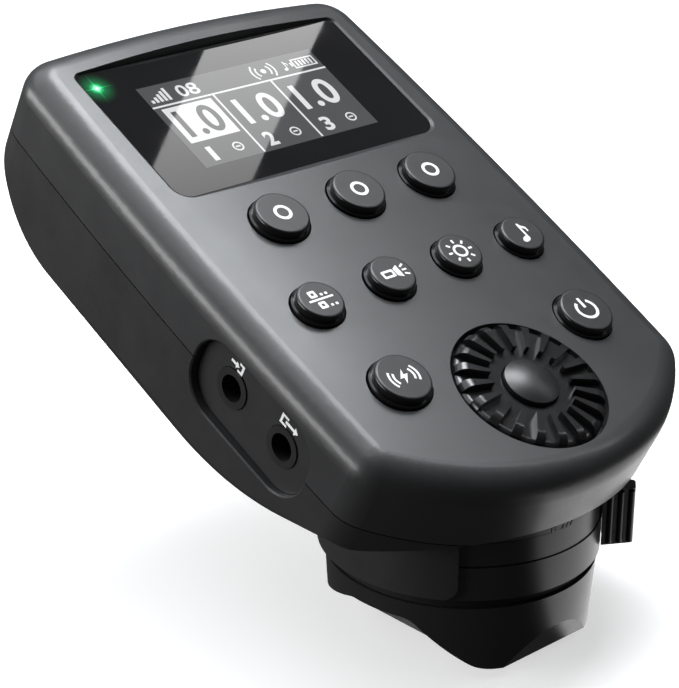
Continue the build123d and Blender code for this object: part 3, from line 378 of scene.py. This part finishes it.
# ------------------------------------------------------------------------------ thin solids
def thin_solid(name, groups, thickness):
    """Flat shapes, in millimetres, as one thin solid on z = 0.

    Within a group, a shape inside another is a hole.
    """
    mesh = bmesh.new()
    for shapes in groups:
        curve = bpy.data.curves.new(name, "CURVE")
        curve.dimensions = "2D"
        curve.fill_mode = "BOTH"
        curve.extrude = thickness / 2
        for points in shapes:
            spline = curve.splines.new("POLY")
            spline.points.add(len(points) - 1)
            for point, (x, y) in zip(spline.points, points):
                point.co = (x, y, 0.0, 1.0)
            spline.use_cyclic_u = True
        take_curve(mesh, curve)
    bmesh.ops.translate(mesh, verts=mesh.verts, vec=(0.0, 0.0, thickness / 2))
    return mesh


def take_curve(mesh, curve):
    """Adds a curve's filled solid to a bmesh, and drops the curve."""
    holder = bpy.data.objects.new("outline", curve)
    bpy.context.scene.collection.objects.link(holder)
    solid = bpy.data.meshes.new_from_object(holder.evaluated_get(bpy.context.evaluated_depsgraph_get()))
    mesh.from_mesh(solid)
    bpy.data.objects.remove(holder)
    bpy.data.curves.remove(curve)
    bpy.data.meshes.remove(solid)
    bmesh.ops.remove_doubles(mesh, verts=mesh.verts, dist=1e-4)


def numerals(mesh, text, x, y, height, width, weight, thickness):
    """Adds digits whose box is height by width, in millimetres, about (x, y)."""
    curve = bpy.data.curves.new("numerals", "FONT")
    curve.body = text
    curve.size = 1.0
    curve.offset = weight
    curve.extrude = 0.1
    own = bmesh.new()
    take_curve(own, curve)
    low = [min(v.co[i] for v in own.verts) for i in range(3)]
    high = [max(v.co[i] for v in own.verts) for i in range(3)]
    wide, tall, deep = (high[i] - low[i] for i in range(3))
    for v in own.verts:
        v.co.x = x + ((v.co.x - low[0]) / wide - 0.5) * width
        v.co.y = y + ((v.co.y - low[1]) / tall - 0.5) * height
        v.co.z = (v.co.z - low[2]) / deep * thickness
    scratch = bpy.data.meshes.new("scratch")
    own.to_mesh(scratch)
    own.free()
    mesh.from_mesh(scratch)
    bpy.data.meshes.remove(scratch)


def finish_piece(mesh, name, matrix, material, body):
    """Turns a bmesh drawn in millimetres into a piece that rides on a body."""
    bmesh.ops.transform(mesh, matrix=matrix @ Matrix.Scale(MM, 4), verts=mesh.verts)
    bmesh.ops.recalc_face_normals(mesh, faces=mesh.faces)
    data = bpy.data.meshes.new(name)
    mesh.to_mesh(data)
    mesh.free()
    data.materials.append(material)
    piece = bpy.data.objects.new(name, data)
    bpy.context.scene.collection.objects.link(piece)
    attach(piece, body)
    return piece


def on_panel(u, v, n):
    """Frame whose x, y and z run along u, v and n, from a point given in millimetres."""
    return PANEL @ Matrix.Translation(Vector((u, v, n)) * MM)


# ------------------------------------------------------------------------------ key symbols
INK = 0.03  # film thickness of the printed symbols


def ring_symbol():
    return [ring(0, 0, 1.3, 0.85)]


def list_symbol():
    """Two rows of a block and two dots, parted by a line."""
    groups = [[bar(0, 0, 3.9, 0.3)]]
    for x, y in ((-0.75, 1.0), (-0.45, -1.0)):
        groups.append([bar(x, y, 1.15, 1.15, 0, 0.2), bar(x, y, 0.45, 0.45, 0, 0.1)])
        groups += [[bar(x + 1.25 + 0.75 * i, y - 0.35, 0.4, 0.4, 0, 0.12)] for i in range(2)]
    return groups


def lamp_symbol():
    """A studio lamp head: body, flared reflector and two beams."""
    flare = [(0.35, -0.62), (1.15, -1.05), (1.15, 1.05), (0.35, 0.62)]
    groups = [[bar(-0.85, 0, 2.0, 1.3, 0, 0.2), bar(-0.85, 0, 1.3, 0.6, 0, 0.1)], [flare]]
    groups += [[bar(1.9, y, 0.75, 0.28, turn)] for y, turn in ((0.75, 0.5), (0, 0), (-0.75, -0.5))]
    return groups


def sun_symbol():
    rays = [[turned(bar(1.47, 0, 0.5, 0.26), i * pi / 4)] for i in range(8)]
    return [ring(0, 0, 0.92, 0.62)] + rays


def note_symbol():
    head = turned([(0.62 * x, 0.42 * y) for x, y in circle(0, 0, 1.0)], 0.4, -0.28, -1.05)
    flag = [(0.26, 1.55), (0.42, 1.1), (0.95, 0.7), (1.0, 0.05), (0.78, -0.1), (0.76, 0.4), (0.26, 0.75)]
    return [[head], [bar(0.15, 0.2, 0.26, 2.6)], [flag]]


def flash_symbol():
    """A lightning bolt between two pairs of arcs."""
    bolt = [(0.35, 1.15), (-0.75, -0.2), (-0.12, -0.2), (-0.35, -1.15), (0.75, 0.25), (0.1, 0.25)]
    groups = [[bolt]]
    for side in (0.0, pi):
        groups += [[arc_band(0, 0, r, r + 0.3, side - 0.6, side + 0.6)] for r in (1.35, 2.0)]
    return groups


def power_symbol():
    gap = radians(35)
    return [[arc_band(0, 0, 0.98, 1.3, pi / 2 + gap, pi / 2 - gap + tau)], [bar(0, 0.85, 0.32, 1.3)]]


SYMBOLS = {
    "group_button_1": ring_symbol,
    "group_button_2": ring_symbol,
    "group_button_3": ring_symbol,
    "mode_button_1": list_symbol,
    "mode_button_2": lamp_symbol,
    "mode_button_3": sun_symbol,
    "mode_button_4": note_symbol,
    "test_button": flash_symbol,
    "power_button": power_symbol,
}
SYMBOL_SCALE = {"power_button": 1.35, "mode_button_3": 1.2, "mode_button_4": 1.12}
for key, symbol in SYMBOLS.items():
    low, high = panel_box(key)
    spot = on_panel((low.x + high.x) / 2, (low.y + high.y) / 2, high.z - 0.005)
    groups = scaled(symbol(), SYMBOL_SCALE.get(key, 1.0))
    film = thin_solid(key, groups, INK)
    finish_piece(film, key + "_symbol", spot, WHITE_INK_PAINTED_GLOW, key + "_body")


# ------------------------------------------------------------------------------ display
glass_high = panel_box("screen_window")[1]
FIELD_U = -0.45  # the lit field sits a little left of the window's middle
FIELD_V = 20.48
FIELD_W = 31.0
FIELD_H = 16.3
FILM = 0.012
FIELD_GREY = pixels("display_field", (0.083, 0.085, 0.088), 1.0)
LIT_WHITE = pixels("display_lit", (0.80, 0.81, 0.82), 1.0)
RULE = 0.32  # width of the display's lines
ROW_V = 4.1  # the line under the top row, above the field's middle
COLUMNS = (-5.2, 5.2)


def display_piece(name, groups, layer, material, extra=None):
    mesh = thin_solid(name, groups, FILM)
    if extra:
        extra(mesh)
    spot = on_panel(FIELD_U, FIELD_V, glass_high.z + layer * FILM)
    return finish_piece(mesh, name, spot, material, "case")


def battery_mark(x, y):
    """A battery outline with its bars."""
    groups = [[bar(x, y, 4.1, 1.9), bar(x, y, 3.6, 1.4)], [bar(x - 2.3, y, 0.35, 0.8)]]
    return groups + [[bar(x - 1.25 + 0.62 * i, y, 0.36, 1.1)] for i in range(5)]


def wave_mark(x, y):
    """A dot between two pairs of arcs."""
    groups = [[circle(x, y, 0.45)]]
    for side in (0.0, pi):
        groups += [[arc_band(x, y, r, r + 0.28, side - 0.75, side + 0.75)] for r in (1.1, 1.85)]
    return groups


def signal_mark(x, y):
    """Five bars that rise from left to right."""
    return [[bar(x + 0.72 * i, y - 1.2 + (0.6 + 0.45 * i) / 2, 0.46, 0.6 + 0.45 * i)] for i in range(5)]


def minus_mark(x, y):
    return [ring(x, y, 0.86, 0.62), [bar(x, y, 0.78, 0.24)]]


def value_digits(mesh):
    """The numbers of the top row, the two plain values and the three column numbers."""
    numerals(mesh, "08", -8.2, 6.0, 2.3, 3.6, 0.015, FILM)
    for x in (-0.1, 10.2):
        numerals(mesh, "1.0", x, -0.25, 5.1, 6.9, 0.02, FILM)
    for label, x in (("1", -12.8), ("2", -2.7), ("3", 7.7)):
        numerals(mesh, label, x, -6.0, 2.7, 0.85 if label == "1" else 1.7, 0.03, FILM)


def cursor_digits(mesh):
    numerals(mesh, "1.0", -10.3, 0.1, 5.3, 6.6, 0.02, FILM)


marks = [[bar(0, ROW_V, FIELD_W, RULE)]]
marks += [[bar(x, (ROW_V - FIELD_H / 2) / 2, RULE, ROW_V + FIELD_H / 2 - RULE)] for x in COLUMNS]
marks += signal_mark(-14.6, 6.1) + wave_mark(5.4, 6.0) + battery_mark(12.9, 6.0)
marks += scaled(note_symbol(), 0.62, 9.4, 6.0)
for x in (-8.3, 1.9, 12.2):
    marks += minus_mark(x, -5.9)
display_piece("display_field", [[bar(0, 0, FIELD_W, FIELD_H)]], 0.5, FIELD_GREY)
display_piece("display_marks", marks, 1.6, LIT_WHITE, value_digits)
display_piece("display_cursor", [[bar(-10.25, 0.05, 8.5, 7.0)]], 1.6, LIT_WHITE)
display_piece("display_cursor_digits", [], 2.7, FIELD_GREY, cursor_digits)


# ------------------------------------------------------------------------------ status light
def glow_material(name, centre, radius):
    """Green light under the window: a bright core, a soft halo and four fine rays."""
    made, shader = new_material(name)
    axes_out = panel_axes(made)
    du = math(made, "DIVIDE", math(made, "SUBTRACT", axes_out["X"], centre[0] * MM), radius * MM)
    dv = math(made, "DIVIDE", math(made, "SUBTRACT", axes_out["Y"], centre[1] * MM), radius * MM)
    squares = math(made, "MULTIPLY", du, du), math(made, "MULTIPLY", dv, dv)
    far = math(made, "SQRT", math(made, "ADD", *squares))
    fade = math(made, "MAXIMUM", math(made, "SUBTRACT", 1.0, far), 0.0)
    core = spread(made, far, 1.0, 0.0, 0.10, 0.34)
    halo = math(made, "MULTIPLY", math(made, "POWER", fade, 2.2), 0.75)
    cross = math(made, "ABSOLUTE", math(made, "MULTIPLY", du, dv))
    rays = math(made, "MULTIPLY", spread(made, cross, 1.0, 0.0, 0.0, 0.012), math(made, "POWER", fade, 1.5))
    level = math(made, "ADD", math(made, "ADD", core, halo), math(made, "MULTIPLY", rays, 1.2))
    white = spread(made, far, 0.55, 0.0, 0.0, 0.22)
    greens = {"Fac": white, "Color1": (0.03, 0.62, 0.20, 1), "Color2": (0.7, 1.0, 0.8, 1)}
    colour = put(made, "MixRGB", greens)
    lit = put(made, "VectorMath", {0: colour.outputs["Color"]}, operation="SCALE")
    made.node_tree.links.new(level, lit.inputs["Scale"])
    link(made, lit.outputs["Vector"], shader, "Emission Color")
    shader.inputs["Emission Strength"].default_value = 1.0
    shader.inputs["Base Color"].default_value = (0.009, 0.009, 0.0095, 1.0)
    link(made, spread(made, noise(made, 6.0, 4.0), 0.018, 0.035), shader, "Roughness")
    return made


pipe_low, pipe_high = panel_box("light_pipe")
LED = ((pipe_low.x + pipe_high.x) / 2, (pipe_low.y + pipe_high.y) / 2)
GLOW_R = 3.3
glow = thin_solid("status_glow", [[circle(0, 0, GLOW_R)]], FILM / 2)
finish_piece(glow, "status_glow", on_panel(*LED, glass_high.z), glow_material("status_glow", LED, GLOW_R),
             "case")


# ------------------------------------------------------------------------------ socket marks
def both_sides(points):
    """An outline from its tip and its upper half."""
    return points + [(x, -y) for x, y in reversed(points[1:])]


def arrow_in():
    """An arrow into a bracket."""
    head = both_sides([(0.55, 0.0), (-0.35, 0.75), (-0.35, 0.26), (-1.7, 0.26)])
    cup = [(0.35, 1.05), (1.7, 1.05), (1.7, -1.05), (0.35, -1.05)]
    cup += [(0.35, -0.6), (1.2, -0.6), (1.2, 0.6), (0.35, 0.6)]
    return [[head], [cup]]


def arrow_out():
    """An arrow out of a bracket."""
    head = both_sides([(2.5, 0.0), (1.5, 0.85), (1.5, 0.28), (-0.9, 0.28)])
    cup = [(-0.4, 1.05), (-2.2, 1.05), (-2.2, -1.05), (-0.4, -1.05)]
    cup += [(-0.4, -0.6), (-1.7, -0.6), (-1.7, 0.6), (-0.4, 0.6)]
    return [[head], [cup]]


plate_low = panel_box("jack_plate")[0]
PLATE_MARK_N = -7.6
PLATE_MARK_SCALE = 0.72
PLATE_MARKS = (("in_mark", "in_jack", arrow_in, 0.6), ("out_mark", "out_jack", arrow_out, 0.4))
PLATE_TURN = Matrix(((0, 0, -1, 0), (-1, 0, 0, 0), (0, 1, 0, 0), (0, 0, 0, 1)))  # flat marks face -X
for name, jack, symbol, shift in PLATE_MARKS:
    jack_low, jack_high = panel_box(jack)
    spot = on_panel(plate_low.x, (jack_low.y + jack_high.y) / 2 + shift, PLATE_MARK_N) @ PLATE_TURN
    film = thin_solid(name, scaled(symbol(), PLATE_MARK_SCALE), INK)
    finish_piece(film, name, spot, WHITE_INK_PAINTED_GLOW, "case")


# ------------------------------------------------------------------------------ lock marks on the collar
COLLAR_R = 18.4
LOCK_MARK_Z = 19.45


def wrapped(mesh, azimuth, z):
    """Bends a flat mesh round the collar; its x becomes arc length."""
    for v in mesh.verts:
        angle = azimuth + v.co.x / COLLAR_R
        radius = COLLAR_R - 0.02 + v.co.z
        v.co = Vector((radius * cos(angle), radius * sin(angle), z + v.co.y))
    return mesh


def lock_marks():
    """A closed padlock and three chevrons that point to the lever."""
    shackle = arc_band(0, 0.1, 0.42, 0.66, 0.0, pi)
    groups = [[bar(0, -0.45, 1.7, 1.1, 0, 0.15), circle(0, -0.45, 0.2)], [shackle]]
    for i in range(3):
        x = 2.0 + 1.3 * i
        groups.append([[(x, 0.8), (x + 0.3, 0.8), (x + 0.95, 0), (x + 0.3, -0.8), (x, -0.8), (x + 0.65, 0)]])
    return scaled(groups, 0.6)


finish_piece(
    wrapped(thin_solid("lock_marks", lock_marks(), 0.1), radians(-97), LOCK_MARK_Z),
    "lock_marks", Matrix.Identity(4), CASE_BLACK, "case",
)
pointer = [(0.4, 0.0), (-0.4, 0.45), (-0.4, -0.45)]
finish_piece(
    wrapped(thin_solid("lock_pointer", [[pointer]], 0.06), radians(-64.5), LOCK_MARK_Z),
    "lock_pointer", Matrix.Identity(4), RUBBER, "case",
)


# ------------------------------------------------------------------------------ camera
camera_data = bpy.data.cameras.new("camera")
camera_data.lens = 120.155
camera_data.sensor_width = 36.0
camera_data.clip_start = 0.01
camera = bpy.data.objects.new("camera", camera_data)
right = Vector((0.73217, -0.68104, 0.01052)).normalized()
forward = Vector((0.63156, 0.67303, -0.38491)).normalized()
up = right.cross(forward)
eye = Vector((-197.892, -186.950, 151.175)) * MM
axes = Matrix((right, up, -forward)).transposed().to_4x4()
camera.matrix_world = Matrix.Translation(eye) @ axes
bpy.context.scene.collection.objects.link(camera)
bpy.context.scene.camera = camera


# ------------------------------------------------------------------------------ studio
def soft_light(name, position, target, size, power, colour=(1.0, 1.0, 1.0)):
    """A rectangular softbox aimed at a point; places and sizes in metres."""
    data = bpy.data.lights.new(name, "AREA")
    data.shape = "RECTANGLE"
    data.size, data.size_y = size
    data.energy = power
    data.color = colour
    lamp = bpy.data.objects.new(name, data)
    lamp.location = position
    lamp.rotation_euler = (Vector(target) - Vector(position)).to_track_quat("-Z", "Y").to_euler()
    bpy.context.scene.collection.objects.link(lamp)
    return lamp


FLOOR_GLOW = 0.56
WORLD_GREY = 0.06


def floor_material():
    """Pale paper sweep with the faintest fibre, softly lit through from below."""
    made, shader = new_material("studio_floor")
    shader.inputs["Emission Color"].default_value = (1.0, 1.0, 1.0, 1.0)
    shader.inputs["Emission Strength"].default_value = FLOOR_GLOW
    paper = tint(made, noise(made, 60.0, 3.0), (0.60, 0.60, 0.60), (0.62, 0.62, 0.62))
    link(made, paper, shader, "Base Color")
    link(made, spread(made, noise(made, 8.0, 3.0), 0.75, 0.85), shader, "Roughness")
    return made


floor_mesh = bmesh.new()
bmesh.ops.create_grid(floor_mesh, x_segments=8, y_segments=8, size=4.0)
bmesh.ops.translate(floor_mesh, verts=floor_mesh.verts, vec=(0.0, 0.0, cad_low.z))
floor_data = bpy.data.meshes.new("studio_floor")
floor_mesh.to_mesh(floor_data)
floor_mesh.free()
floor_data.materials.append(floor_material())
floor = bpy.data.objects.new("studio_floor", floor_data)
floor.visible_diffuse = False  # the paper is seen itself, but the object doesn't mirror it
floor.visible_glossy = False
bpy.context.scene.collection.objects.link(floor)

world = bpy.data.worlds.new("studio")
world.use_nodes = True
world.node_tree.nodes["Background"].inputs["Color"].default_value = (1.0, 1.0, 1.0, 1.0)
world.node_tree.nodes["Background"].inputs["Strength"].default_value = WORLD_GREY
bpy.context.scene.world = world
bpy.context.scene.view_settings.view_transform = "Standard"

middle = (cad_low + cad_high) / 2
COOL = (0.94, 0.97, 1.0)  # faint blue of the softboxes
soft_light("overhead", middle + Vector((-0.3, 0.5, 1.25)), middle, (1.6, 1.6), 18.0, COOL)
soft_light("key_light", middle + 0.62 * Vector((0.25, 0.15, 0.95)), middle, (0.34, 0.26), 4.5, COOL)
soft_light("front_strip", middle + 0.7 * Vector((0.60, -0.36, 0.70)), middle, (0.025, 0.5), 0.55, COOL)
soft_light("side_fill", middle + 0.9 * Vector((-0.80, 0.50, 0.20)), middle, (0.9, 0.22), 6.4)
glow_spot = Vector((0.045, -0.026, cad_low.z - 0.005))  # just under the paper, in front of the column
soft_light("under_light", glow_spot, glow_spot + Vector((0.0, 0.0, 0.1)), (0.07, 0.09), 0.030)


# a strip light, where the window mirrors it as a slanting band
def mirrored(u, v, distance):
    """Where a sight line through a point of the window ends after the glass has mirrored it."""
    spot = on_panel(u, v, glass_high.z).translation
    normal = PANEL.to_3x3() @ Vector((0.0, 0.0, 1.0))
    line = (spot - eye).normalized()
    return spot + distance * (line - 2 * line.dot(normal) * normal)


def strip_material():
    """White diffuser that fades towards its lower end."""
    made, shader = new_material("strip_light")
    along = put(made, "SeparateXYZ", {"Vector": put(made, "TexCoord").outputs["UV"]}).outputs["Y"]
    link(made, spread(made, along, 1.9, 6.0, 0.0, 1.0), shader, "Emission Strength")
    shader.inputs["Emission Color"].default_value = (1.0, 1.0, 1.0, 1.0)
    return made


STRIP_FAR = 0.5
STRIP_CORNERS = ((-41.3, 0.0), (-22.3, 0.0), (37.5, 45.0), (14.1, 45.0))
strip_data = bpy.data.meshes.new("strip_light")
strip_data.from_pydata([mirrored(u, v, STRIP_FAR) for u, v in STRIP_CORNERS], [], [(0, 1, 2, 3)])
strip_uv = strip_data.uv_layers.new(name="along")
for loop, spot in zip(strip_uv.data, ((0, 0), (1, 0), (1, 1), (0, 1))):
    loop.uv = spot
strip_data.materials.append(strip_material())
strip = bpy.data.objects.new("strip_light", strip_data)
bpy.context.scene.collection.objects.link(strip)
